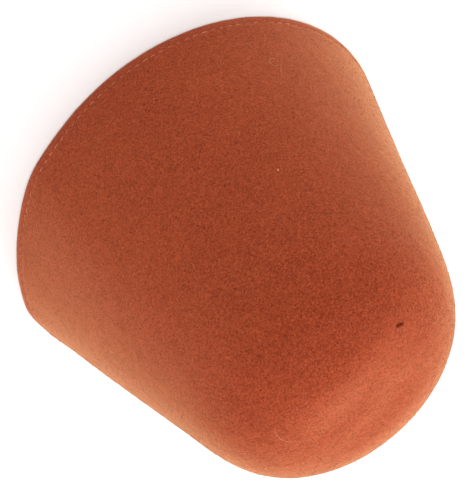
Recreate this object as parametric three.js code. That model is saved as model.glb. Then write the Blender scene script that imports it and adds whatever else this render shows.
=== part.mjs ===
// A felt sauna hat: one moulded shell of thick wool felt, open at its oval rim, with a stitched hem.
// Lengths are in millimetres. X runs along the oval and Z points up. The origin is at the middle of
// the rim, on the surface that the hat rests on.

import * as THREE from "three";

// Outside sizes of the felt
const rimLength = 210;
const rimWidth = 184;
const shoulderLength = 142.5;
const shoulderWidth = 125;
const shoulderHeight = 110;
const crownHeight = 167;

// Felt and hem
const feltThickness = 3;
const hemHeight = 4.5;
const hemSwell = 0.15;
const stitchGrooveDepth = 0.2;
const stitchGrooveWidth = 1.8;

// How far the dome keeps on in the wall's direction, as a share of its own rise,
// and how far out its flat top reaches, as a share of the shoulder's half sizes
const wallCarriesOn = 0.57;
const topReachesOut = 0.83;

// The deepest dent, which the column push of the table below is a share of
const deepestDent = 3;

// Soft dents and swellings of the felt. The place and how wide it is along X and Y are shares of the
// rim's half length and half width, and along Z shares of the crown's height.
// A push above 0 goes into the felt, and one below 0 stands out.
const dents = [
  { at: "back of the top", x: 0.02, y: 0.14, z: 1, wideX: 0.26, wideY: 0.09, wideZ: 0.2, push: 0.45 },
  { at: "front shoulder", x: -0.04, y: -0.25, z: 0.97, wideX: 0.3, wideY: 0.12, wideZ: 0.14, push: -0.65 },
  { at: "middle of the top", x: 0.1, y: -0.02, z: 1, wideX: 0.2, wideY: 0.1, wideZ: 0.2, push: 0.4 },
  { at: "right of the top", x: -0.14, y: 0.06, z: 1, wideX: 0.09, wideY: 0.07, wideZ: 0.2, push: 0.25 },
  { at: "left of the top", x: 0.42, y: -0.14, z: 0.92, wideX: 0.14, wideY: 0.24, wideZ: 0.14, push: -0.35 },
  { at: "right wall", x: -0.68, y: 0, z: 0.6, wideX: 0.14, wideY: 0.3, wideZ: 0.2, push: -0.25 },
  { at: "left ridge", x: 0.4, y: -0.88, z: 0.12, wideX: 0.13, wideY: 0.22, wideZ: 0.4, push: -0.4 },
  { at: "left flat", x: 0.72, y: -0.66, z: 0.16, wideX: 0.18, wideY: 0.26, wideZ: 0.45, push: 0.35 },
  { at: "rim corner", x: 0.95, y: -0.32, z: 0.02, wideX: 0.06, wideY: 0.12, wideZ: 0.12, push: -0.35 },
  { at: "left end", x: 1, y: 0, z: 0.15, wideX: 0.1, wideY: 0.2, wideZ: 0.3, push: 0.3 },
];

// Fineness of the mesh
const sidesAround = 80;
const hemRows = [0, 0.12, 0.5, 0.82, 1, 1.18, 1.6];
const outerWallRows = 9;
const innerWallRows = 8;
const domeRows = 11;
const smallStep = 1e-3;

const feltFinish = new THREE.MeshStandardMaterial({ color: 0xb5512f, roughness: 1, metalness: 0 });

// The two curves hold the half length, the half width and the height of each section.
const rim = new THREE.Vector3(rimLength / 2, rimWidth / 2, 0);
const shoulder = new THREE.Vector3(shoulderLength / 2, shoulderWidth / 2, shoulderHeight);
const top = new THREE.Vector3(0, 0, crownHeight);
const domeRise = crownHeight - shoulderHeight;
const wallDirection = shoulder.clone().sub(rim).divideScalar(shoulderHeight);
const wallCurve = new THREE.LineCurve3(rim, shoulder);
const domeCurve = new THREE.CubicBezierCurve3(
  shoulder,
  shoulder.clone().addScaledVector(wallDirection, domeRise * wallCarriesOn),
  new THREE.Vector3(shoulder.x * topReachesOut, shoulder.y * topReachesOut, crownHeight),
  top,
);

// Steps up the hat: 0 is the rim, 1 the shoulder and 2 the middle of the top.
function smoothPoint(angle, step) {
  const section = step < 1 ? wallCurve.getPoint(step) : domeCurve.getPoint(step - 1);
  return new THREE.Vector3(section.x * Math.cos(angle), section.y * Math.sin(angle), section.z);
}

// The direction straight out of the smooth felt.
function outward(angle, step) {
  const low = Math.max(step - smallStep, 0);
  const high = Math.min(step + smallStep, 2);
  if (high === 2) {
    return new THREE.Vector3(0, 0, 1);
  }
  const around = smoothPoint(angle + smallStep, step).sub(smoothPoint(angle - smallStep, step));
  const upward = smoothPoint(angle, high).sub(smoothPoint(angle, low));
  return around.cross(upward).normalize();
}

function bell(distance, spread) {
  return Math.exp(-((distance / spread) ** 2));
}

function dentDepth(point) {
  const x = point.x / rim.x;
  const y = point.y / rim.y;
  const z = point.z / crownHeight;
  let depth = 0;
  for (const dent of dents) {
    const nearX = bell(x - dent.x, dent.wideX);
    const nearY = bell(y - dent.y, dent.wideY);
    const nearZ = bell(z - dent.z, dent.wideZ);
    depth += deepestDent * dent.push * nearX * nearY * nearZ;
  }
  return depth;
}

// How far the hem stands proud at a height above the edge, less the groove that its stitches pull in.
function hemOffset(height) {
  const swell = hemSwell * bell(height - hemHeight / 2, hemHeight / 2);
  return swell - stitchGrooveDepth * bell(height - hemHeight, stitchGrooveWidth / 2);
}

// A point of the felt's outer face. The rim's own section stays at height 0.
function outerPoint(angle, step) {
  const smooth = smoothPoint(angle, step);
  const out = outward(angle, step);
  if (step === 0) {
    out.setZ(0).normalize();
  }
  return smooth.clone().addScaledVector(out, hemOffset(smooth.z) - dentDepth(smooth));
}

// A point of the inner face, one felt thickness in. The lowest row runs level to height 0.
function innerPoint(angle, step) {
  const smooth = smoothPoint(angle, step);
  const out = outward(angle, step);
  let inset = feltThickness + dentDepth(smooth);
  if (step === 0) {
    const level = Math.hypot(out.x, out.y);
    out.setZ(0).normalize();
    inset = feltThickness / level + dentDepth(smooth);
  }
  return smooth.clone().addScaledVector(out, -inset);
}

// Steps from the rim to just below the middle of the top, for either face.
function rowSteps(lowSteps, wallRows) {
  const steps = [...lowSteps];
  const start = lowSteps[lowSteps.length - 1];
  for (let row = 1; row <= wallRows; row += 1) {
    steps.push(start + ((1 - start) * row) / wallRows);
  }
  for (let row = 1; row < domeRows; row += 1) {
    steps.push(1 + row / domeRows);
  }
  return steps;
}

// One closed skin: up the outside to its top point, down the inside, and across the flat rim.
function feltShell() {
  const outerSteps = rowSteps(hemRows.map((share) => (share * hemHeight) / shoulderHeight), outerWallRows);
  const innerSteps = rowSteps([0], innerWallRows);
  const points = [];
  const faces = [];

  const addRing = (place, step) => {
    const first = points.length;
    for (let side = 0; side < sidesAround; side += 1) {
      points.push(place((2 * Math.PI * side) / sidesAround, step));
    }
    return first;
  };
  const joinRings = (lower, upper) => {
    for (let side = 0; side < sidesAround; side += 1) {
      const next = (side + 1) % sidesAround;
      faces.push(lower + side, lower + next, upper + next);
      faces.push(lower + side, upper + next, upper + side);
    }
  };
  const closeRing = (ring, peak, facesUp) => {
    for (let side = 0; side < sidesAround; side += 1) {
      const next = (side + 1) % sidesAround;
      faces.push(...(facesUp ? [ring + side, ring + next, peak] : [ring + next, ring + side, peak]));
    }
  };

  const outerRings = outerSteps.map((step) => addRing(outerPoint, step));
  const innerRings = innerSteps.map((step) => addRing(innerPoint, step));
  points.push(outerPoint(0, 2), innerPoint(0, 2));
  const outerPeak = points.length - 2;
  const innerPeak = points.length - 1;

  outerRings.slice(1).forEach((ring, row) => joinRings(outerRings[row], ring));
  innerRings.slice(1).forEach((ring, row) => joinRings(ring, innerRings[row]));
  closeRing(outerRings[outerRings.length - 1], outerPeak, true);
  closeRing(innerRings[innerRings.length - 1], innerPeak, false);
  joinRings(innerRings[0], outerRings[0]);

  const geometry = new THREE.BufferGeometry();
  geometry.setAttribute("position", new THREE.Float32BufferAttribute(points.flatMap((p) => p.toArray()), 3));
  geometry.setIndex(faces);
  geometry.computeVertexNormals();
  return geometry;
}

const crown = new THREE.Mesh(feltShell(), feltFinish);
crown.name = "crown";

const hat = new THREE.Group();
hat.add(crown);

export default hat;
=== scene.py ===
"""A felt sauna hat on a pale floor: the felt shell, its hem stitches, its nap, stray fibres and flecks."""

import math

import bpy
import numpy as np
from mathutils import Matrix, Vector
from mathutils.bvhtree import BVHTree


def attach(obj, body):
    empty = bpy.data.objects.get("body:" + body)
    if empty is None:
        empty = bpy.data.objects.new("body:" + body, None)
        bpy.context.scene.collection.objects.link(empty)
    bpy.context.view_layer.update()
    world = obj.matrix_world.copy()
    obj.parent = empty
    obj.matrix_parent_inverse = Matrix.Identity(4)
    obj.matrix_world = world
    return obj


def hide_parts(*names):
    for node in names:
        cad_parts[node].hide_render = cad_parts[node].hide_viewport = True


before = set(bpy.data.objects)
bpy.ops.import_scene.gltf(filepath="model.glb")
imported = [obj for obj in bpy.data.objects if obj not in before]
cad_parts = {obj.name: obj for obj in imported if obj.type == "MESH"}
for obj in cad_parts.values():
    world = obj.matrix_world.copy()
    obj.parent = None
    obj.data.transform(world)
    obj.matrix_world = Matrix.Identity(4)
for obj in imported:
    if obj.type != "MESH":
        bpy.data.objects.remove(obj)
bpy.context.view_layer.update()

bl_info = {
    "name": "Felt Sauna Hat",
    "version": (1, 0, 0),
    "blender": (4, 5, 0),
    "location": "View3D > Sidebar > Felt Hat",
    "description": "Builds a felt sauna hat around its fixed frame, with stitches, nap and a plain stage",
    "category": "Add Mesh",
}

MM = 0.001

# How far loose fibres and stitches keep off the floor
FLOOR_GAP = 0.05 * MM

# Soft dents and swellings of the felt. The place and the spread along X and Y are shares of the rim's
# half length and half width, and along Z shares of the crown's height. A push above 0 goes into the
# felt, as a share of the deepest dent, and one below 0 stands out.
DENTS = (
    {"at": "back of the top", "x": 0.02, "y": 0.14, "z": 1.0, "spread": (0.26, 0.09, 0.20), "push": 0.45},
    {"at": "front shoulder", "x": -0.04, "y": -0.25, "z": 0.97, "spread": (0.30, 0.12, 0.14), "push": -0.65},
    {"at": "middle of the top", "x": 0.10, "y": -0.02, "z": 1.0, "spread": (0.20, 0.10, 0.20), "push": 0.4},
    {"at": "right of the top", "x": -0.14, "y": 0.06, "z": 1.0, "spread": (0.09, 0.07, 0.20), "push": 0.25},
    {"at": "left of the top", "x": 0.42, "y": -0.14, "z": 0.92, "spread": (0.14, 0.24, 0.14), "push": -0.35},
    {"at": "right wall", "x": -0.68, "y": 0.0, "z": 0.6, "spread": (0.14, 0.30, 0.20), "push": -0.25},
    {"at": "left ridge", "x": 0.40, "y": -0.88, "z": 0.12, "spread": (0.13, 0.22, 0.40), "push": -0.4},
    {"at": "left flat", "x": 0.72, "y": -0.66, "z": 0.16, "spread": (0.18, 0.26, 0.45), "push": 0.35},
    {"at": "rim corner", "x": 0.95, "y": -0.32, "z": 0.02, "spread": (0.06, 0.12, 0.12), "push": -0.35},
    {"at": "left end", "x": 1.0, "y": 0.0, "z": 0.15, "spread": (0.10, 0.20, 0.30), "push": 0.3},
)

# The undented form above the shoulder: how far it keeps on in the wall's direction, as a share of its
# rise, and how far out the flat top reaches, as a share of the shoulder's half sizes.
WALL_CARRIES_ON = 0.57
TOP_REACHES_OUT = 0.83

# Fineness of the shell
SIDES = 280
HEM_ROWS_MM = (0.0, 0.2, 0.5, 0.9, 1.4, 2.0, 2.6, 3.2, 3.7, 4.1, 4.5, 4.9, 5.3, 5.8, 6.5, 7.4, 8.6)
WALL_ROWS = 62
DOME_ROWS = 56

# Form of the hem's stitch groove, of the rounded cut edge and of the felt's small lumps
GROOVE_HALF_WIDTH = 0.9 * MM
EDGE_ROUNDING = 0.55 * MM
EDGE_ROUNDING_HEIGHT = 0.35 * MM
LUMP_SIZE = 4.5 * MM
LUMP_LEVELS = 2

# The middle of the head hollow, as a share of the crown's height
HOLLOW_MIDDLE = 0.36

# Zones of the nap, each a piece of its own: which face of the felt it covers, and the lowest and highest
# share of the crown's height and of the rim's half width that it reaches over.
NAP_ZONES = (
    {"piece": "nap_front", "outside": True, "height": (0.004, 0.66), "depth": (-2.0, 0.0)},
    {"piece": "nap_back", "outside": True, "height": (0.004, 0.66), "depth": (0.0, 2.0)},
    {"piece": "nap_crown", "outside": True, "height": (0.66, 2.0), "depth": (-2.0, 2.0)},
    {"piece": "nap_inside", "outside": False, "height": (0.004, 2.0), "depth": (-2.0, 2.0)},
)

# Wool tones from deep to pale, with the share of the fibres that each one colours.
WOOL_TONES = (
    {"name": "deep rust wool", "colour": (0.22, 0.026, 0.009), "share": 0.25},
    {"name": "rust wool", "colour": (0.40, 0.060, 0.021), "share": 0.35},
    {"name": "orange wool", "colour": (0.58, 0.11, 0.040), "share": 0.26},
    {"name": "golden wool", "colour": (0.80, 0.27, 0.11), "share": 0.14},
)

# The camera, fitted to the photo's outline: its angles in degrees, its distance from the place it aims at,
# the nearest distance that it draws, the picture's size and the focal length in pixels of the photo, and
# the sensor's width in millimetres
CAMERA_AROUND = -8.4
CAMERA_UP = 47.85
CAMERA_ROLL = 141.55
CAMERA_DISTANCE = 525 * MM
CAMERA_AIM = (-4.9 * MM, -41.0 * MM, 83.5 * MM)
CAMERA_NEAR = 0.01
PICTURE_WIDTH = 465
PICTURE_HEIGHT = 481
FOCAL_PIXELS = 1206.7
SENSOR = 36.0

# Long curly fibres that catch the light, by the photo's pixel where one end lies, the heading there in
# degrees to the left of straight up, and the turn for each millimetre.
CURLY_FIBRES = (
    {"pixel": (283, 78), "heading": 185.0, "length_mm": 10.0, "turn": -2.0},
    {"pixel": (279, 61), "heading": 185.0, "length_mm": 13.0, "turn": 24.0},
    {"pixel": (423, 325), "heading": 0.0, "length_mm": 5.0, "turn": 4.0},
    {"pixel": (438, 305), "heading": 15.0, "length_mm": 5.7, "turn": -3.0},
    {"pixel": (432, 322), "heading": 60.0, "length_mm": 8.0, "turn": 25.0},
    {"pixel": (275, 425), "heading": -88.0, "length_mm": 15.0, "turn": 6.0},
)

# Bits caught in the wool, by the photo's pixel, with length and width in millimetres, the turn in degrees
# and the tone.
FLECKS = (
    {"pixel": (400, 325), "size_mm": (5.2, 1.5), "turn": 94.0, "colour": (0.17, 0.024, 0.008)},
    {"pixel": (156, 100), "size_mm": (1.0, 0.6), "turn": 70.0, "colour": (0.16, 0.022, 0.009)},
    {"pixel": (278, 170), "size_mm": (1.7, 0.6), "turn": 30.0, "colour": (0.95, 0.44, 0.26)},
)

# How much the grain, the curls and the clouds each mottle the felt, the range of their sum that goes from
# shade to light, and how much the grain and the curls each raise it. The mottle is random tone, and as it
# follows the same noise as the relief it also paints shade on the deep fibres and light on the raised ones.
GRAIN_SHARE = 0.7
CURL_SHARE = 0.24
CLOUD_SHARE = 0.06
TONE_RANGE = (0.39, 0.61)
GRAIN_RELIEF = 0.6
CURL_RELIEF = 0.4

# The heights where the cut edge's colour begins and where it is full, in hem heights, and how much shows
EDGE_FADE_BEGINS = 1.2
EDGE_FADE_FULL = 0.7
EDGE_SHARE = 0.25

# The sheen of loose wool
WOOL_SHEEN = 0.35
WOOL_SHEEN_SPREAD = 0.5
WOOL_SHEEN_COLOUR = (1.0, 0.5, 0.22)

# The thread's plies, their turns in one stitch, its fuzz and wear in waves to the metre, and its relief
THREAD_PLIES = 2.0
THREAD_TURNS = 7.0
THREAD_FUZZ_WAVES = 5000.0
THREAD_WEAR_WAVES = 160.0
THREAD_WEAR_RANGE = (0.38, 0.62)
THREAD_RELIEF = 0.06 * MM

# Sides and rings of a stitch or a fleck, and of a nap fibre, and the points that measure the hem's oval
ROUND_SIDES = 8
ROUND_RINGS = 5
NAP_SIDES = 3
NAP_RINGS = 1
OVAL_POINTS = 2001

# How each stitch differs by chance from the next, as a mean and a spread: its rise along the hem, its
# tilt off the felt, and how deep it lies, as a share of its thread. Its length has a least and a most share.
STITCH_RISE = (0.04, 0.05)
STITCH_TILT = (0.0, 0.04)
STITCH_SINK = (0.25, 0.2)
STITCH_LENGTHS = (0.75, 1.1)

# The same for the nap's fibres: tilt, roll, height in shares of the nap's lift, and length. The bow of a
# fibre is a share of its length.
NAP_TILT = (0.0, 0.07)
NAP_ROLL = (0.0, 0.9)
NAP_HEIGHT = (0.4, 1.0)
NAP_LENGTHS = (0.5, 1.4)
NAP_BOW = 0.12

# The long fibres: steps along each, how its ends and its middle stand off the felt, how thin its ends are,
# how far one step's heading strays, and the numbers for the ones at chance places.
STRAY_STEPS = 12
STRAY_END_LIFT = 0.05 * MM
STRAY_MIDDLE_LIFT = 0.35 * MM
STRAY_END_SHARE = 0.35
CURLY_KINK = 0.08
CURLY_THICKER = 2.0
LOOSE_KINK = 0.2
LOOSE_TURN = (0.0, 0.25)
LOOSE_LENGTHS_MM = (3, 8)
LOOSE_SEED_STEP = 40
LOOSE_ZONE = {"outside": True, "height": (0.01, 2.0), "depth": (-2.0, 2.0)}
# The curly wool's pale tone is partly its own and partly painted highlight, for the light these fibres catch
CURLY_WOOL = {"name": "pale curly wool", "colour": (0.86, 0.46, 0.28)}
LOOSE_WOOL = {"name": "loose wool", "colour": (0.80, 0.34, 0.18)}

# How flat a fleck is, its bow as a share of its width, its streaks in waves to the metre, their darker
# tone and their relief
FLECK_FLATNESS = 0.45
FLECK_BOW = 0.1
FLECK_WAVES = 2500.0
FLECK_DARKER = 0.6
FLECK_RELIEF = 0.1 * MM


class Wire:
    """A shader socket that Python arithmetic works on: each sum adds a Math node."""

    def __init__(self, finish, socket):
        self.finish = finish
        self.socket = socket

    def math(self, operation, first, second):
        return self.finish.node("ShaderNodeMath", {"operation": operation}, {0: first, 1: second})

    def __add__(self, other):
        return self.math("ADD", self, other)

    def __radd__(self, other):
        return self.math("ADD", other, self)

    def __sub__(self, other):
        return self.math("SUBTRACT", self, other)

    def __rsub__(self, other):
        return self.math("SUBTRACT", other, self)

    def __mul__(self, other):
        return self.math("MULTIPLY", self, other)

    def __rmul__(self, other):
        return self.math("MULTIPLY", other, self)


class Finish:
    """A material whose nodes are made one call at a time."""

    def __init__(self, name):
        self.material = bpy.data.materials.new(name)
        self.material.use_nodes = True
        self.tree = self.material.node_tree
        self.tree.nodes.clear()

    def node(self, kind, settings=None, inputs=None, output=0):
        """Adds a node, sets it up, fills or links its sockets, and gives one of its outputs."""
        made = self.tree.nodes.new(kind)
        for name, value in (settings or {}).items():
            setattr(made, name, value)
        for socket, value in (inputs or {}).items():
            if isinstance(value, Wire):
                self.tree.links.new(value.socket, made.inputs[socket])
            else:
                made.inputs[socket].default_value = value
        return Wire(self, made.outputs[output])

    def place(self):
        return self.node("ShaderNodeTexCoord", output="Object")

    def parts(self, vector, axis):
        """One of the three numbers of a vector, by its axis."""
        return self.node("ShaderNodeSeparateXYZ", inputs={"Vector": vector}, output=axis)

    def noise(self, place, scale, detail=2.0, distortion=0.0, roughness=0.5):
        """Soft noise from 0 to 1, with scale in waves to the metre."""
        inputs = {"Vector": place, "Scale": scale, "Detail": detail}
        inputs |= {"Roughness": roughness, "Distortion": distortion}
        return self.node("ShaderNodeTexNoise", {}, inputs)

    def spread(self, value, low, high):
        """Stretches a value so that low gives 0 and high gives 1, held to that range."""
        inputs = {"Value": value, "From Min": low, "From Max": high}
        return self.node("ShaderNodeMapRange", {"clamp": True}, inputs)

    def blend(self, share, first, second):
        """Mixes two colours by a share from 0 to 1."""
        return self.node("ShaderNodeMix", {"data_type": "RGBA"}, {0: share, 6: first, 7: second}, output=2)

    def bump(self, height, distance, strength=1.0):
        return self.node("ShaderNodeBump", {}, {"Height": height, "Distance": distance, "Strength": strength})

    def close(self, colour, sockets, normal=None):
        """Ends the material in one Principled shader."""
        inputs = {"Base Color": colour, **sockets}
        if normal is not None:
            inputs["Normal"] = normal
        shader = self.node("ShaderNodeBsdfPrincipled", {}, inputs)
        output = self.tree.nodes.new("ShaderNodeOutputMaterial")
        self.tree.links.new(shader.socket, output.inputs["Surface"])
        return self.material


def opaque(colour):
    return (*colour, 1.0)


def felt_finish(felt):
    """Dense wool felt: fine mottled fibres over slow clouds of tone, redder and lighter at the cut edge."""
    finish = Finish("wool felt")
    place = finish.place()
    grain = finish.noise(place, felt.grain_waves, detail=2.0, distortion=0.8, roughness=0.7)
    curls = finish.noise(place, felt.curl_waves, detail=3.0, distortion=2.5, roughness=0.6)
    clouds = finish.noise(place, felt.cloud_waves, detail=3.0, roughness=0.6)
    # Random tone that also paints shade on the deep fibres and light on the raised ones, as it follows the
    # relief
    mottle = grain * GRAIN_SHARE + curls * CURL_SHARE + clouds * CLOUD_SHARE
    tone = finish.spread(mottle, *TONE_RANGE)
    body = finish.blend(tone, opaque(felt.shade_colour), opaque(felt.light_colour))
    height = finish.parts(place, "Z")
    # A lighter, redder band along the cut edge, reaching up to about the stitches
    near_edge = finish.spread(height, felt.hem_height * EDGE_FADE_BEGINS, felt.hem_height * EDGE_FADE_FULL)
    colour = finish.blend(near_edge * EDGE_SHARE, body, opaque(felt.edge_colour))
    relief = finish.bump(grain * GRAIN_RELIEF + curls * CURL_RELIEF, felt.grain_depth)
    sockets = {
        "Roughness": 1.0,
        "Specular IOR Level": 0.1,
        "Sheen Weight": felt.sheen,
        "Sheen Roughness": felt.sheen_spread,
        "Sheen Tint": opaque(felt.sheen_colour),
    }
    return finish.close(colour, sockets, relief)


def wool_finish(tone):
    """One tone of loose wool: the same over a fibre, because each fibre takes one of several tones."""
    sockets = {
        "Roughness": 1.0,
        "Specular IOR Level": 0.05,
        "Sheen Weight": WOOL_SHEEN,
        "Sheen Roughness": WOOL_SHEEN_SPREAD,
        "Sheen Tint": opaque(WOOL_SHEEN_COLOUR),
    }
    return Finish(tone["name"]).close(opaque(tone["colour"]), sockets)


def thread_finish(hem):
    """Two-ply sewing thread, its twist drawn along the stitch by its own map, with painted shade between the
    plies and painted light on them.
    """
    finish = Finish("hem thread")
    around = finish.parts(finish.node("ShaderNodeTexCoord", output="UV"), "X")
    along = finish.parts(finish.node("ShaderNodeTexCoord", output="UV"), "Y")
    turns = around * THREAD_PLIES + along * THREAD_TURNS
    twist = finish.node("ShaderNodeMath", {"operation": "SINE"}, {0: turns * math.tau})
    ply = finish.spread(twist, -1.0, 1.0)
    fuzz = finish.noise(finish.place(), THREAD_FUZZ_WAVES)
    wear = finish.spread(finish.noise(finish.place(), THREAD_WEAR_WAVES), *THREAD_WEAR_RANGE)
    # The twist paints shade in the grooves between the plies and light on their crests; fuzz and wear are
    # random tone
    tone = ply * 0.4 + fuzz * 0.2 + wear * 0.4
    colour = finish.blend(tone, opaque(hem.thread_shade), opaque(hem.thread_colour))
    relief = finish.bump(ply, THREAD_RELIEF)
    return finish.close(colour, {"Roughness": 0.85, "Specular IOR Level": 0.2}, relief)


def fleck_finish(number, colour):
    """A bit of dry plant or dark hair, streaked along its length."""
    finish = Finish(f"fleck {number}")
    streaks = finish.noise(finish.place(), FLECK_WAVES, detail=3.0, distortion=1.0)
    dark = tuple(part * FLECK_DARKER for part in colour)
    shade = finish.blend(streaks, opaque(dark), opaque(colour))
    relief = finish.bump(streaks, FLECK_RELIEF)
    return finish.close(shade, {"Roughness": 0.9, "Specular IOR Level": 0.05}, relief)


def floor_finish(stage):
    finish = Finish("pale floor")
    clouds = finish.noise(finish.place(), FLOOR_WAVES)
    duller = tuple(part * FLOOR_DULLER for part in stage.floor_colour)
    colour = finish.blend(clouds, opaque(stage.floor_colour), opaque(duller))
    return finish.close(colour, {"Roughness": 0.9, "Specular IOR Level": 0.2})


def deselect():
    if bpy.context.object and bpy.context.object.mode != "OBJECT":
        bpy.ops.object.mode_set(mode="OBJECT")
    bpy.ops.object.select_all(action="DESELECT")


def points_of(piece):
    points = np.empty(len(piece.data.vertices) * 3)
    piece.data.vertices.foreach_get("co", points)
    return points.reshape(-1, 3)


def normals_of(piece):
    normals = np.empty(len(piece.data.vertices) * 3)
    piece.data.vertices.foreach_get("normal", normals)
    return normals.reshape(-1, 3)


def move_points(piece, points):
    piece.data.vertices.foreach_set("co", points.ravel())
    piece.data.update()


def apply_modifier(piece, kind, **settings):
    modifier = piece.modifiers.new(kind.title(), kind)
    for name, value in settings.items():
        setattr(modifier, name, value)
    bpy.ops.object.modifier_apply(modifier=modifier.name)


def bell(distance, spread):
    return np.exp(-((distance / spread) ** 2))


def unit(vectors):
    return vectors / np.maximum(np.linalg.norm(vectors, axis=-1, keepdims=True), 1e-12)


def name_piece(piece, name):
    piece.name = piece.data.name = name


def extrude_rings(sides, rings):
    """Extrudes a tube from ring to ring and closes both ends in a point. A ring is a centre and two radii."""
    (first, wide, deep), *others = rings
    bpy.ops.mesh.primitive_circle_add(vertices=sides, radius=1.0, location=first)
    piece = bpy.context.object
    bpy.ops.object.mode_set(mode="EDIT")
    bpy.ops.mesh.select_all(action="SELECT")
    bpy.ops.transform.resize(value=(wide, deep, 1), center_override=first)
    centre, last_wide, last_deep = first, wide, deep
    for place, wide, deep in others:
        step = tuple(there - here for there, here in zip(place, centre))
        bpy.ops.mesh.extrude_region_move(TRANSFORM_OT_translate={"value": step})
        bpy.ops.transform.resize(value=(wide / last_wide, deep / last_deep, 1), center_override=place)
        centre, last_wide, last_deep = place, wide, deep
    bpy.ops.mesh.extrude_region_move()
    bpy.ops.mesh.merge(type="CENTER")
    bpy.ops.object.mode_set(mode="OBJECT")
    bpy.ops.object.transform_apply(location=True, rotation=True, scale=True)
    return piece


def close_first_ring(piece, sides):
    """Closes the ring that a tube began with, in a point at its middle."""
    bpy.ops.object.mode_set(mode="EDIT")
    bpy.ops.mesh.select_all(action="DESELECT")
    bpy.ops.object.mode_set(mode="OBJECT")
    for vertex in piece.data.vertices[:sides]:
        vertex.select = True
    bpy.ops.object.mode_set(mode="EDIT")
    bpy.ops.mesh.extrude_region_move()
    bpy.ops.mesh.merge(type="CENTER")
    bpy.ops.object.mode_set(mode="OBJECT")


def turn_outwards(piece):
    bpy.ops.object.mode_set(mode="EDIT")
    bpy.ops.mesh.select_all(action="SELECT")
    bpy.ops.mesh.normals_make_consistent(inside=False)
    bpy.ops.object.mode_set(mode="OBJECT")
    list_in_order(piece)


def list_in_order(piece):
    """Lists the faces by their corners. Extruding leaves them in an order that differs between runs."""
    faces = []
    for face in piece.data.polygons:
        corners = list(face.vertices)
        first = corners.index(min(corners))
        faces.append(corners[first:] + corners[:first])
    points = points_of(piece).tolist()
    piece.data.clear_geometry()
    piece.data.from_pydata(points, [], sorted(faces))


def spindle(sides, half_length, thickness, rings, bow):
    """A thin closed tube along X, thickest in its middle, its middle bowed up along Z."""
    radius = thickness / 2
    heights = [half_length * (2 * ring / (rings + 1) - 1) for ring in range(1, rings + 1)]
    shape = []
    for height in heights:
        girth = radius * math.sqrt(1 - (height / half_length) ** 2)
        shape.append(((0, 0, height), girth, girth))
    piece = extrude_rings(sides, shape)
    close_first_ring(piece, sides)
    points = points_of(piece)
    low, high = points[:, 2].min(), points[:, 2].max()
    last = [points[:, 2] == low, points[:, 2] == high]
    turned = np.stack([points[:, 2], points[:, 0], points[:, 1]], 1)
    for end, side in zip(last, (-1, 1)):
        tip = end & (np.hypot(points[:, 0], points[:, 1]) < radius * 1e-3)
        turned[tip, 0] = side * half_length
    move_points(piece, turned)
    turn_outwards(piece)
    apply_modifier(piece, "TRIANGULATE")
    map_spindle(piece, half_length)
    turned[:, 2] += bow * (1 - (turned[:, 0] / half_length) ** 2)
    move_points(piece, turned)
    return piece


def map_spindle(piece, half_length):
    """Maps a straight spindle: once round its girth is 1 across, and its length is 1 up."""
    mesh = piece.data
    corners = np.empty(len(mesh.loops), dtype=np.int32)
    mesh.loops.foreach_get("vertex_index", corners)
    x, y, z = points_of(piece)[corners.reshape(-1, 3)].transpose(2, 0, 1)
    around = np.arctan2(z, y) / math.tau
    around = around[:, :1] + (around - around[:, :1] + 0.5) % 1 - 0.5
    along = x / half_length / 2 + 0.5
    layer = mesh.uv_layers.active or mesh.uv_layers.new(name="along the thread")
    layer.uv.foreach_set("vector", np.stack([around, along], 2).ravel())


def joined_copies(piece, axes, places, tones=None):
    """Makes a modelled shape one mesh of its copies, each laid along its own three axes at its place."""
    shape = points_of(piece)
    mesh = piece.data
    corners = np.empty(len(mesh.loops), dtype=np.int32)
    mesh.loops.foreach_get("vertex_index", corners)
    maps = np.empty(0)
    if mesh.uv_layers:
        maps = np.empty(len(mesh.loops) * 2)
        mesh.uv_layers.active.uv.foreach_get("vector", maps)
    count = len(places)
    placed = shape @ axes + places[:, None]
    placed[..., 2] = np.maximum(placed[..., 2], FLOOR_GAP)
    made = bpy.data.meshes.new(piece.name)
    made.vertices.add(count * len(shape))
    made.vertices.foreach_set("co", placed.ravel())
    indices = (corners + len(shape) * np.arange(count)[:, None]).ravel()
    made.loops.add(len(indices))
    made.loops.foreach_set("vertex_index", indices.astype(np.int32))
    made.polygons.add(len(indices) // 3)
    made.polygons.foreach_set("loop_start", np.arange(0, len(indices), 3, dtype=np.int32))
    if tones is not None:
        made.polygons.foreach_set("material_index", np.repeat(tones, len(corners) // 3).astype(np.int32))
    made.update(calc_edges=True)
    if len(maps):
        made.uv_layers.new(name="along the thread")
        made.uv_layers.active.uv.foreach_set("vector", np.tile(maps, count))
    made.shade_smooth()
    piece.data = made
    bpy.data.meshes.remove(mesh)


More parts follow.
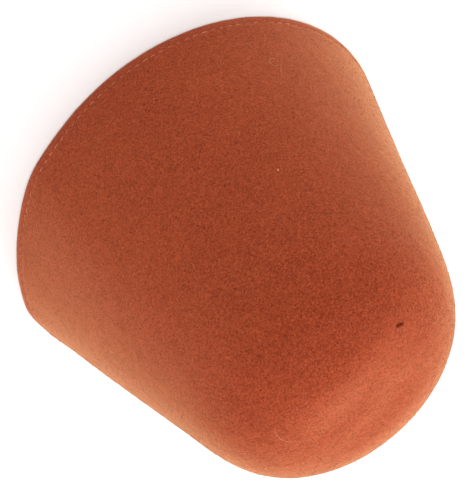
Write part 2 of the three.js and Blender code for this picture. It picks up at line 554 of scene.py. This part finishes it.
class FeltSettings(bpy.types.PropertyGroup):
    """Sizes and colours of the felt shell."""

    rim_length: bpy.props.FloatProperty(
        name="Rim Length", description="Outside length of the oval rim", default=210 * MM, unit="LENGTH")
    rim_width: bpy.props.FloatProperty(
        name="Rim Width", description="Outside width of the oval rim", default=184 * MM, unit="LENGTH")
    shoulder_length: bpy.props.FloatProperty(
        name="Shoulder Length", description="Length where the straight wall ends",
        default=142.5 * MM, unit="LENGTH")
    shoulder_width: bpy.props.FloatProperty(
        name="Shoulder Width", description="Width where the straight wall ends",
        default=125 * MM, unit="LENGTH")
    shoulder_height: bpy.props.FloatProperty(
        name="Shoulder Height", description="Height where the straight wall ends",
        default=110 * MM, unit="LENGTH")
    crown_height: bpy.props.FloatProperty(
        name="Crown Height", description="Height of the undented top", default=167 * MM, unit="LENGTH")
    thickness: bpy.props.FloatProperty(
        name="Felt Thickness", description="Thickness of the felt", default=3 * MM, unit="LENGTH")
    deepest_dent: bpy.props.FloatProperty(
        name="Deepest Dent", description="Depth that the dents are shares of", default=3 * MM, unit="LENGTH")
    hem_height: bpy.props.FloatProperty(
        name="Hem Height", description="Height of the stitches above the edge",
        default=4.5 * MM, unit="LENGTH")
    hem_swell: bpy.props.FloatProperty(
        name="Hem Swell", description="How far the hem stands proud", default=0.12 * MM, unit="LENGTH")
    groove_depth: bpy.props.FloatProperty(
        name="Groove Depth", description="How far the stitches pull the felt in",
        default=0.22 * MM, unit="LENGTH")
    lump_height: bpy.props.FloatProperty(
        name="Lump Height", description="Height of the felt's small lumps", default=0.3 * MM, unit="LENGTH")
    # Shade and light colours: random tone, and also painted shade on the deep fibres and painted light on the
    # raised ones
    shade_colour: bpy.props.FloatVectorProperty(
        name="Shade Colour", description="Deep fibres",
        default=(0.215, 0.0235, 0.0075), subtype="COLOR")
    light_colour: bpy.props.FloatVectorProperty(
        name="Light Colour", description="Raised fibres",
        default=(0.46, 0.079, 0.029), subtype="COLOR")
    # The edge colour is a lighter, redder band along the cut edge
    edge_colour: bpy.props.FloatVectorProperty(
        name="Edge Colour", description="Fresher wool at the cut edge",
        default=(0.42, 0.082, 0.046), subtype="COLOR")
    sheen_colour: bpy.props.FloatVectorProperty(
        name="Sheen Colour", description="Tint of the nap's sheen",
        default=(1.0, 0.53, 0.26), subtype="COLOR")
    sheen: bpy.props.FloatProperty(
        name="Sheen", description="Strength of the nap's sheen", default=1.0)
    sheen_spread: bpy.props.FloatProperty(
        name="Sheen Spread", description="How wide the sheen is", default=0.39)
    grain_waves: bpy.props.FloatProperty(
        name="Grain", description="Single fibres to the metre", default=1400.0)
    curl_waves: bpy.props.FloatProperty(
        name="Curls", description="Tangles of fibres to the metre", default=520.0)
    cloud_waves: bpy.props.FloatProperty(
        name="Clouds", description="Slow changes of tone to the metre", default=70.0)
    grain_depth: bpy.props.FloatProperty(
        name="Grain Depth", description="Relief of the fibre clumps", default=0.35 * MM, unit="LENGTH")


class HemSettings(bpy.types.PropertyGroup):
    """Sizes and colours of the stitches along the hem."""

    pitch: bpy.props.FloatProperty(
        name="Pitch", description="From one stitch to the next", default=4.4 * MM, unit="LENGTH")
    length: bpy.props.FloatProperty(
        name="Stitch Length", description="Length of thread that shows", default=3.8 * MM, unit="LENGTH")
    thickness: bpy.props.FloatProperty(
        name="Thread Thickness", description="Thickness of the thread", default=0.42 * MM, unit="LENGTH")
    bow: bpy.props.FloatProperty(
        name="Bow", description="How far a stitch's middle stands over its ends",
        default=0.4 * MM, unit="LENGTH")
    # The thread colour is painted light on the plies' crests, and the thread shade is painted shade between
    # them
    thread_colour: bpy.props.FloatVectorProperty(
        name="Thread Colour", description="Lit side of the thread",
        default=(0.74, 0.31, 0.18), subtype="COLOR")
    thread_shade: bpy.props.FloatVectorProperty(
        name="Thread Shade", description="Between the plies",
        default=(0.42, 0.09, 0.04), subtype="COLOR")


class WoolSettings(bpy.types.PropertyGroup):
    """Sizes and numbers of the loose fibres."""

    nap_length: bpy.props.FloatProperty(
        name="Nap Length", description="Length of a nap fibre", default=1.9 * MM, unit="LENGTH")
    nap_thickness: bpy.props.FloatProperty(
        name="Nap Thickness", description="Thickness of a nap fibre", default=0.06 * MM, unit="LENGTH")
    nap_lift: bpy.props.FloatProperty(
        name="Nap Lift", description="How high the nap's fibres lie over the felt",
        default=0.04 * MM, unit="LENGTH")
    nap_count: bpy.props.IntProperty(
        name="Nap Count", description="Fibres in each zone of the nap", default=30000)
    stray_thickness: bpy.props.FloatProperty(
        name="Stray Thickness", description="Thickness of a long fibre", default=0.05 * MM, unit="LENGTH")
    stray_count: bpy.props.IntProperty(
        name="Stray Count", description="Long fibres at chance places", default=160)
    seed: bpy.props.IntProperty(name="Seed", description="Start of the chance numbers", default=7)


class StageSettings(bpy.types.PropertyGroup):
    """Floor, lights and camera."""

    floor_colour: bpy.props.FloatVectorProperty(
        name="Floor Colour", description="Colour of the pale floor",
        default=(0.93, 0.93, 0.93), subtype="COLOR")
    room_light: bpy.props.FloatProperty(
        name="Room Light", description="Strength of the light from all round", default=0.72)


# The floor's size in metres, its faint clouds in waves to the metre and their duller tone, and where the
# lights aim, in metres
FLOOR_SIZE = 12.0
FLOOR_WAVES = 3.0
FLOOR_DULLER = 0.98
LIGHT_AIM = (0.0, 0.0, 0.08)

# Soft round lights: place and width in metres, and power in watts.
LIGHTS = (
    {"name": "top light", "place": (0.0, 0.1, 1.35), "width": 1.0, "power": 4.7},
    {"name": "back light", "place": (0.0, 1.15, 0.75), "width": 1.2, "power": 14.0},
    {"name": "left light", "place": (1.25, 0.1, 0.7), "width": 1.0, "power": 8.0},
    {"name": "right light", "place": (-1.25, 0.1, 0.7), "width": 1.0, "power": 3.6},
    {"name": "back left light", "place": (0.95, 0.85, 0.55), "width": 1.0, "power": 4.0},
    {"name": "back right light", "place": (-0.95, 0.85, 0.55), "width": 1.0, "power": 5.0},
)


def section(felt, step):
    """Half length, half width and height at a step: 0 is the rim, 1 the shoulder, 2 the middle of the top."""
    rim = Vector((felt.rim_length / 2, felt.rim_width / 2, 0.0))
    shoulder = Vector((felt.shoulder_length / 2, felt.shoulder_width / 2, felt.shoulder_height))
    if step <= 1:
        return rim.lerp(shoulder, step)
    rise = felt.crown_height - felt.shoulder_height
    low_pull = shoulder + (shoulder - rim) * (rise * WALL_CARRIES_ON / felt.shoulder_height)
    top_pull = Vector((shoulder.x * TOP_REACHES_OUT, shoulder.y * TOP_REACHES_OUT, felt.crown_height))
    top = Vector((0.0, 0.0, felt.crown_height))
    t = step - 1
    u = 1 - t
    return shoulder * u**3 + low_pull * (3 * u * u * t) + top_pull * (3 * u * t * t) + top * t**3


def extrude_shell(felt):
    """Draws the oval rim, then extrudes and scales it ring by ring up to the middle of the top."""
    hem_steps = [height * MM / felt.shoulder_height for height in HEM_ROWS_MM]
    last = hem_steps[-1]
    wall_steps = [last + (1 - last) * row / WALL_ROWS for row in range(1, WALL_ROWS + 1)]
    dome_steps = [1 + row / DOME_ROWS for row in range(1, DOME_ROWS)]
    sections = [section(felt, step) for step in hem_steps + wall_steps + dome_steps]
    piece = extrude_rings(SIDES, [((0, 0, ring.z), ring.x, ring.y) for ring in sections])
    turn_outwards(piece)
    return piece


def press_dents(piece, felt):
    """Pushes the charted dents in along the felt's normals."""
    points = points_of(piece)
    shares = points / (felt.rim_length / 2, felt.rim_width / 2, felt.crown_height)
    depth = np.zeros(len(points))
    for dent in DENTS:
        near = np.ones(len(points))
        for axis, name in enumerate("xyz"):
            near *= bell(shares[:, axis] - dent[name], dent["spread"][axis])
        depth += felt.deepest_dent * dent["push"] * near
    move_points(piece, points - normals_of(piece) * depth[:, None])


def form_hem(piece, felt):
    """Swells the hem, pulls the stitch groove in on both faces and rounds the cut edge a little."""
    points = points_of(piece)
    height = points[:, 2]
    lean = (felt.rim_width - felt.shoulder_width) / 2 / felt.shoulder_height
    out_of_middle = np.hypot(points[:, 0] * felt.rim_width / felt.rim_length, points[:, 1])
    outside = out_of_middle > felt.rim_width / 2 - height * lean - felt.thickness / 2
    swell = felt.hem_swell * bell(height - felt.hem_height / 2, felt.hem_height / 2) * outside
    groove = felt.groove_depth * bell(height - felt.hem_height, GROOVE_HALF_WIDTH)
    rounding = EDGE_ROUNDING * np.exp(-np.abs(height) / EDGE_ROUNDING_HEIGHT)
    level = unit(points * (1, 1, 0))
    side = np.where(outside, 1.0, -1.0)
    move_points(piece, points + level * (side * (swell - groove - rounding))[:, None])


def level_rim(piece):
    """Draws the lowest rings of both faces back to their own heights, the lowest all the way."""
    points = points_of(piece)
    for first in (0, len(points) // 2):
        for row, height in enumerate(HEM_ROWS_MM):
            ring = slice(first + row * SIDES, first + (row + 1) * SIDES)
            share = 1 - height / HEM_ROWS_MM[-1]
            points[ring, 2] += (height * MM - points[ring, 2]) * share
    move_points(piece, points)


class HAT_OT_add_shell(bpy.types.Operator):
    """Models the one moulded shell of felt"""

    bl_idname = "hat.add_shell"
    bl_label = "Felt Shell"

    def execute(self, context):
        felt = context.scene.hat_felt
        deselect()
        piece = extrude_shell(felt)
        name_piece(piece, "felt_shell")
        press_dents(piece, felt)
        apply_modifier(piece, "SOLIDIFY", thickness=felt.thickness, offset=-1.0, use_even_offset=True)
        level_rim(piece)
        form_hem(piece, felt)
        lumps = bpy.data.textures.new("felt lumps", "CLOUDS")
        lumps.noise_scale = LUMP_SIZE
        lumps.noise_depth = LUMP_LEVELS
        apply_modifier(piece, "DISPLACE", texture=lumps, texture_coords="LOCAL", strength=felt.lump_height,
                       mid_level=0.5)
        level_rim(piece)
        bpy.ops.object.shade_smooth()
        piece.data.materials.append(felt_finish(felt))
        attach(piece, "root")
        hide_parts("crown")
        return {"FINISHED"}


class FeltFace:
    """The finished shell as a surface to lay things on."""

    def __init__(self, felt):
        self.mesh = bpy.data.objects["felt_shell"].data
        self.half_sizes = np.array((felt.rim_length / 2, felt.rim_width / 2, felt.crown_height))
        self.points = points_of(bpy.data.objects["felt_shell"])
        self.normals = normals_of(bpy.data.objects["felt_shell"])
        self.mesh.calc_loop_triangles()
        corners = np.empty(len(self.mesh.loop_triangles) * 3, dtype=np.int32)
        self.mesh.loop_triangles.foreach_get("vertices", corners)
        self.corners = corners.reshape(-1, 3)
        self.tree = BVHTree.FromPolygons(self.points.tolist(), self.corners.tolist())

    def nearest(self, point):
        """The place on the felt nearest a point, and the felt's normal there."""
        place, normal, _, _ = self.tree.find_nearest(Vector(point))
        return np.array(place), np.array(normal)

    def seen_at(self, pixel):
        """The place on the felt that the camera sees at a pixel of the photo, and the felt's normal there."""
        axes = camera_axes()
        across = (pixel[0] - PICTURE_WIDTH / 2) / FOCAL_PIXELS
        down = (pixel[1] - PICTURE_HEIGHT / 2) / FOCAL_PIXELS
        sight = axes @ Vector((across, -down, -1))
        place, normal, _, _ = self.tree.ray_cast(camera_place(axes), sight)
        if place is None:
            raise RuntimeError(f"The camera sees no felt at the photo's pixel {pixel}")
        return np.array(place), np.array(normal)

    def scatter(self, zone, count, chance):
        """Chance places in one zone, evenly over its area, and the felt's normal at each."""
        a, b, c = (self.points[self.corners[:, corner]] for corner in range(3))
        cross = np.cross(b - a, c - a)
        middle = (a + b + c) / 3
        heart = self.half_sizes * (0, 0, HOLLOW_MIDDLE)
        outside = (cross * (middle - heart)).sum(1) > 0
        shares = middle / self.half_sizes
        wanted = outside == zone["outside"]
        for axis, reach in ((2, zone["height"]), (1, zone["depth"])):
            wanted &= (shares[:, axis] >= reach[0]) & (shares[:, axis] < reach[1])
        area = np.linalg.norm(cross, axis=1) * wanted
        chosen = chance.choice(len(area), size=count, p=area / area.sum())
        shares = chance.random((count, 2))
        shares = np.where(shares.sum(1, keepdims=True) > 1, 1 - shares, shares)
        weights = np.concatenate([1 - shares.sum(1, keepdims=True), shares], 1)[..., None]
        places = (self.points[self.corners[chosen]] * weights).sum(1)
        normals = unit((self.normals[self.corners[chosen]] * weights).sum(1))
        return places, normals


def frames_on(normals, headings, tilts, rolls):
    """Three axes for each place: along the heading and tilted off the felt, and two rolled round it."""
    side = unit(np.cross(normals, headings))
    level = np.cross(side, normals)
    along = unit(level + normals * np.tan(tilts)[:, None])
    up = np.cross(along, side)
    turned_side = side * np.cos(rolls)[:, None] + up * np.sin(rolls)[:, None]
    turned_up = up * np.cos(rolls)[:, None] - side * np.sin(rolls)[:, None]
    return np.stack([along, turned_side, turned_up], 1)


class HAT_OT_add_stitches(bpy.types.Operator):
    """Sews the row of stitches along the hem, seen outside and inside"""

    bl_idname = "hat.add_stitches"
    bl_label = "Hem Stitches"

    def execute(self, context):
        felt, hem = context.scene.hat_felt, context.scene.hat_hem
        face = FeltFace(felt)
        chance = np.random.default_rng(context.scene.hat_wool.seed)
        ring = section(felt, felt.hem_height / felt.shoulder_height)
        angles = np.linspace(0, math.tau, OVAL_POINTS)
        oval = np.stack([ring.x * np.cos(angles), ring.y * np.sin(angles)], 1)
        along = np.concatenate([[0], np.cumsum(np.linalg.norm(np.diff(oval, axis=0), axis=1))])
        count = round(along[-1] / hem.pitch)
        chosen = np.interp(np.arange(count) * along[-1] / count, along, angles)
        for name, depth in (("hem_stitches", 0.0), ("hem_stitches_inside", felt.thickness)):
            places, normals, headings = [], [], []
            for angle in chosen:
                way_out = Vector((math.cos(angle) / ring.x, math.sin(angle) / ring.y, 0)).normalized()
                guide = Vector((ring.x * math.cos(angle), ring.y * math.sin(angle), felt.hem_height))
                place, normal = face.nearest(guide - way_out * depth)
                places.append(place)
                normals.append(normal)
                headings.append((-ring.x * math.sin(angle), ring.y * math.cos(angle), 0))
            places, normals, headings = np.array(places), np.array(normals), np.array(headings)
            deselect()
            piece = spindle(ROUND_SIDES, hem.length / 2, hem.thickness, ROUND_RINGS, hem.bow)
            name_piece(piece, name)
            headings = unit(headings)
            headings[:, 2] = chance.normal(*STITCH_RISE, count)
            tilts = chance.normal(*STITCH_TILT, count)
            sunk = hem.bow - hem.thickness * chance.normal(*STITCH_SINK, count)
            axes = frames_on(normals, headings, tilts, np.zeros(count))
            axes[:, 0] *= chance.uniform(*STITCH_LENGTHS, (count, 1))
            joined_copies(piece, axes, places - normals * sunk[:, None])
            name_piece(piece, name)
            piece.data.materials.append(thread_finish(hem))
            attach(piece, "root")
        return {"FINISHED"}


class HAT_OT_add_nap(bpy.types.Operator):
    """Lays the short bent fibres of the nap over both faces of the felt"""

    bl_idname = "hat.add_nap"
    bl_label = "Nap"

    def execute(self, context):
        wool = context.scene.hat_wool
        face = FeltFace(context.scene.hat_felt)
        finishes = [wool_finish(tone) for tone in WOOL_TONES]
        for number, zone in enumerate(NAP_ZONES):
            chance = np.random.default_rng(wool.seed + number)
            count = wool.nap_count
            places, normals = face.scatter(zone, count, chance)
            deselect()
            half_length = wool.nap_length / 2
            bow = wool.nap_length * NAP_BOW
            piece = spindle(NAP_SIDES, half_length, wool.nap_thickness, NAP_RINGS, bow)
            name_piece(piece, zone["piece"])
            headings = chance.normal(size=(count, 3))
            tilts = chance.normal(*NAP_TILT, count)
            rolls = chance.normal(*NAP_ROLL, count)
            axes = frames_on(normals, headings, tilts, rolls)
            axes[:, 0] *= chance.uniform(*NAP_LENGTHS, (count, 1))
            lift = wool.nap_lift * chance.normal(*NAP_HEIGHT, (count, 1))
            shares = [tone["share"] for tone in WOOL_TONES]
            tones = chance.choice(len(WOOL_TONES), size=count, p=shares)
            joined_copies(piece, axes, places + normals * lift, tones)
            name_piece(piece, zone["piece"])
            for finish in finishes:
                piece.data.materials.append(finish)
            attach(piece, "root")
        return {"FINISHED"}


def turned_from_up(normal, angle):
    """The direction over the felt that lies an angle to the left of straight up, seen from outside."""
    normal = Vector(normal)
    up = Vector((0, 0, 1)) - normal * normal.z
    return Matrix.Rotation(angle, 3, normal) @ up.normalized()


def wander(face, start, heading, length, turn, kink, chance):
    """A fibre's path over the felt, bending as it goes, its ends tucked in and its middle standing off."""
    place, normal = face.nearest(start)
    path = []
    for step in range(STRAY_STEPS + 1):
        share = step / STRAY_STEPS
        lift = STRAY_END_LIFT + STRAY_MIDDLE_LIFT * math.sin(math.pi * share) * chance.random()
        lifted = place + normal * lift
        lifted[2] = max(lifted[2], FLOOR_GAP)
        path.append(lifted)
        heading = Matrix.Rotation(turn + chance.normal(0, kink), 3, Vector(normal)) @ heading
        place, normal = face.nearest(place + np.array(heading.normalized()) * length / STRAY_STEPS)
        heading = heading - Vector(normal) * heading.dot(Vector(normal))
    return path


def thread_through(paths, thickness, name):
    """Draws a thin round fibre along each path, thinner at its ends, and makes the lot one mesh."""
    curve = bpy.data.curves.new(name, "CURVE")
    curve.dimensions = "3D"
    curve.bevel_depth = thickness / 2
    curve.bevel_resolution = 0
    curve.use_fill_caps = True
    for path in paths:
        spline = curve.splines.new("POLY")
        spline.points.add(len(path) - 1)
        for number, place in enumerate(path):
            share = number / (len(path) - 1)
            spline.points[number].co = (*place, 1.0)
            spline.points[number].radius = STRAY_END_SHARE + (1 - STRAY_END_SHARE) * math.sin(math.pi * share)
    piece = bpy.data.objects.new(name, curve)
    bpy.context.collection.objects.link(piece)
    bpy.context.view_layer.objects.active = piece
    piece.select_set(True)
    bpy.ops.object.convert(target="MESH")
    piece = bpy.context.object
    apply_modifier(piece, "TRIANGULATE")
    name_piece(piece, name)
    return piece


class HAT_OT_add_strays(bpy.types.Operator):
    """Lays the long curly fibres that have worked loose"""

    bl_idname = "hat.add_strays"
    bl_label = "Stray Fibres"

    def execute(self, context):
        wool = context.scene.hat_wool
        face = FeltFace(context.scene.hat_felt)
        chance = np.random.default_rng(wool.seed + LOOSE_SEED_STEP)
        bright = []
        for fibre in CURLY_FIBRES:
            start, normal = face.seen_at(fibre["pixel"])
            heading = turned_from_up(normal, math.radians(fibre["heading"]))
            length = fibre["length_mm"] * MM
            turn = math.radians(fibre["turn"] * fibre["length_mm"] / STRAY_STEPS)
            bright.append(wander(face, start, heading, length, turn, CURLY_KINK, chance))
        loose = []
        places, normals = face.scatter(LOOSE_ZONE, wool.stray_count, chance)
        for place, normal in zip(places, normals):
            heading = Vector(normal).orthogonal()
            heading.rotate(Matrix.Rotation(chance.uniform(0, math.tau), 3, Vector(normal)))
            turn = chance.normal(*LOOSE_TURN)
            length = chance.uniform(*LOOSE_LENGTHS_MM) * MM
            loose.append(wander(face, place, heading, length, turn, LOOSE_KINK, chance))
        deselect()
        piece = thread_through(bright, wool.stray_thickness * CURLY_THICKER, "curly_fibres")
        piece.data.materials.append(wool_finish(CURLY_WOOL))
        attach(piece, "root")
        deselect()
        piece = thread_through(loose, wool.stray_thickness, "stray_fibres")
        piece.data.materials.append(wool_finish(LOOSE_WOOL))
        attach(piece, "root")
        return {"FINISHED"}


class HAT_OT_add_flecks(bpy.types.Operator):
    """Sets the few bits that are caught in the wool"""

    bl_idname = "hat.add_flecks"
    bl_label = "Flecks"

    def execute(self, context):
        face = FeltFace(context.scene.hat_felt)
        made = []
        for number, fleck in enumerate(FLECKS):
            long, wide = (size * MM for size in fleck["size_mm"])
            place, normal = face.seen_at(fleck["pixel"])
            deselect()
            piece = spindle(ROUND_SIDES, long / 2, wide, ROUND_RINGS, wide * FLECK_BOW)
            move_points(piece, points_of(piece) * (1.0, 1.0, FLECK_FLATNESS))
            heading = Vector(normal).orthogonal()
            heading.rotate(Matrix.Rotation(math.radians(fleck["turn"]), 3, Vector(normal)))
            axes = frames_on(normal[None], np.array(heading)[None], np.zeros(1), np.zeros(1))
            joined_copies(piece, axes, place[None])
            piece.data.materials.append(fleck_finish(number, fleck["colour"]))
            made.append(piece)
        deselect()
        for piece in made:
            piece.select_set(True)
        context.view_layer.objects.active = made[0]
        bpy.ops.object.join()
        piece = context.object
        name_piece(piece, "flecks")
        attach(piece, "root")
        return {"FINISHED"}


class HAT_OT_add_stage(bpy.types.Operator):
    """Sets the pale floor, the soft lights and the camera"""

    bl_idname = "hat.add_stage"
    bl_label = "Stage"

    def execute(self, context):
        stage = context.scene.hat_stage
        deselect()
        bpy.ops.mesh.primitive_plane_add(size=FLOOR_SIZE, location=(0, 0, 0))
        floor = context.object
        floor.name = "floor"
        floor.data.materials.append(floor_finish(stage))
        for light in LIGHTS:
            soft_light(light)
        world = bpy.data.worlds.new("room")
        world.use_nodes = True
        background = world.node_tree.nodes["Background"]
        background.inputs["Color"].default_value = (1.0, 1.0, 1.0, 1.0)
        background.inputs["Strength"].default_value = stage.room_light
        context.scene.world = world
        context.scene.view_settings.view_transform = "Standard"
        set_camera(context.scene)
        return {"FINISHED"}


def soft_light(light):
    bpy.ops.object.light_add(type="AREA", location=light["place"])
    lamp = bpy.context.object
    lamp.name = light["name"]
    lamp.data.shape = "DISK"
    lamp.data.size = light["width"]
    lamp.data.energy = light["power"]
    aim = Vector(LIGHT_AIM) - Vector(light["place"])
    lamp.rotation_euler = aim.to_track_quat("-Z", "Y").to_euler()


def camera_axes():
    """The camera's right, up and backward directions, as the columns of a matrix."""
    around, up_angle, roll = (math.radians(a) for a in (CAMERA_AROUND, CAMERA_UP, CAMERA_ROLL))
    level = math.cos(up_angle)
    back = Vector((math.sin(around) * level, -math.cos(around) * level, math.sin(up_angle)))
    right = (-back).cross(Vector((0, 0, 1))).normalized()
    up = right.cross(-back)
    turned_right = right * math.cos(roll) + up * math.sin(roll)
    turned_up = up * math.cos(roll) - right * math.sin(roll)
    return Matrix((turned_right, turned_up, back)).transposed()


def camera_place(axes):
    return Vector(CAMERA_AIM) + axes.col[2] * CAMERA_DISTANCE


def set_camera(scene):
    axes = camera_axes()
    bpy.ops.object.camera_add()
    camera = bpy.context.object
    camera.matrix_world = Matrix.Translation(camera_place(axes)) @ axes.to_4x4()
    camera.data.sensor_width = SENSOR
    camera.data.lens = FOCAL_PIXELS * SENSOR / max(PICTURE_WIDTH, PICTURE_HEIGHT)
    camera.data.clip_start = CAMERA_NEAR
    scene.camera = camera


class HAT_PT_panel(bpy.types.Panel):
    """Lists the steps that build the hat"""

    bl_idname = "HAT_PT_panel"
    bl_label = "Felt Hat"
    bl_space_type = "VIEW_3D"
    bl_region_type = "UI"
    bl_category = "Felt Hat"

    def draw(self, context):
        for step in STEPS:
            self.layout.operator(step.bl_idname)


STEPS = (HAT_OT_add_shell, HAT_OT_add_stitches, HAT_OT_add_nap, HAT_OT_add_strays, HAT_OT_add_flecks,
         HAT_OT_add_stage)
GROUPS = {
    "hat_felt": FeltSettings,
    "hat_hem": HemSettings,
    "hat_wool": WoolSettings,
    "hat_stage": StageSettings,
}


def register():
    for kind in (*GROUPS.values(), *STEPS, HAT_PT_panel):
        bpy.utils.register_class(kind)
    for name, group in GROUPS.items():
        setattr(bpy.types.Scene, name, bpy.props.PointerProperty(type=group))


def unregister():
    for name in GROUPS:
        delattr(bpy.types.Scene, name)
    for kind in reversed((*GROUPS.values(), *STEPS, HAT_PT_panel)):
        bpy.utils.unregister_class(kind)


def main():
    register()
    bpy.ops.hat.add_shell()
    bpy.ops.hat.add_stitches()
    bpy.ops.hat.add_nap()
    bpy.ops.hat.add_strays()
    bpy.ops.hat.add_flecks()
    bpy.ops.hat.add_stage()


if __name__ == "__main__":
    main()
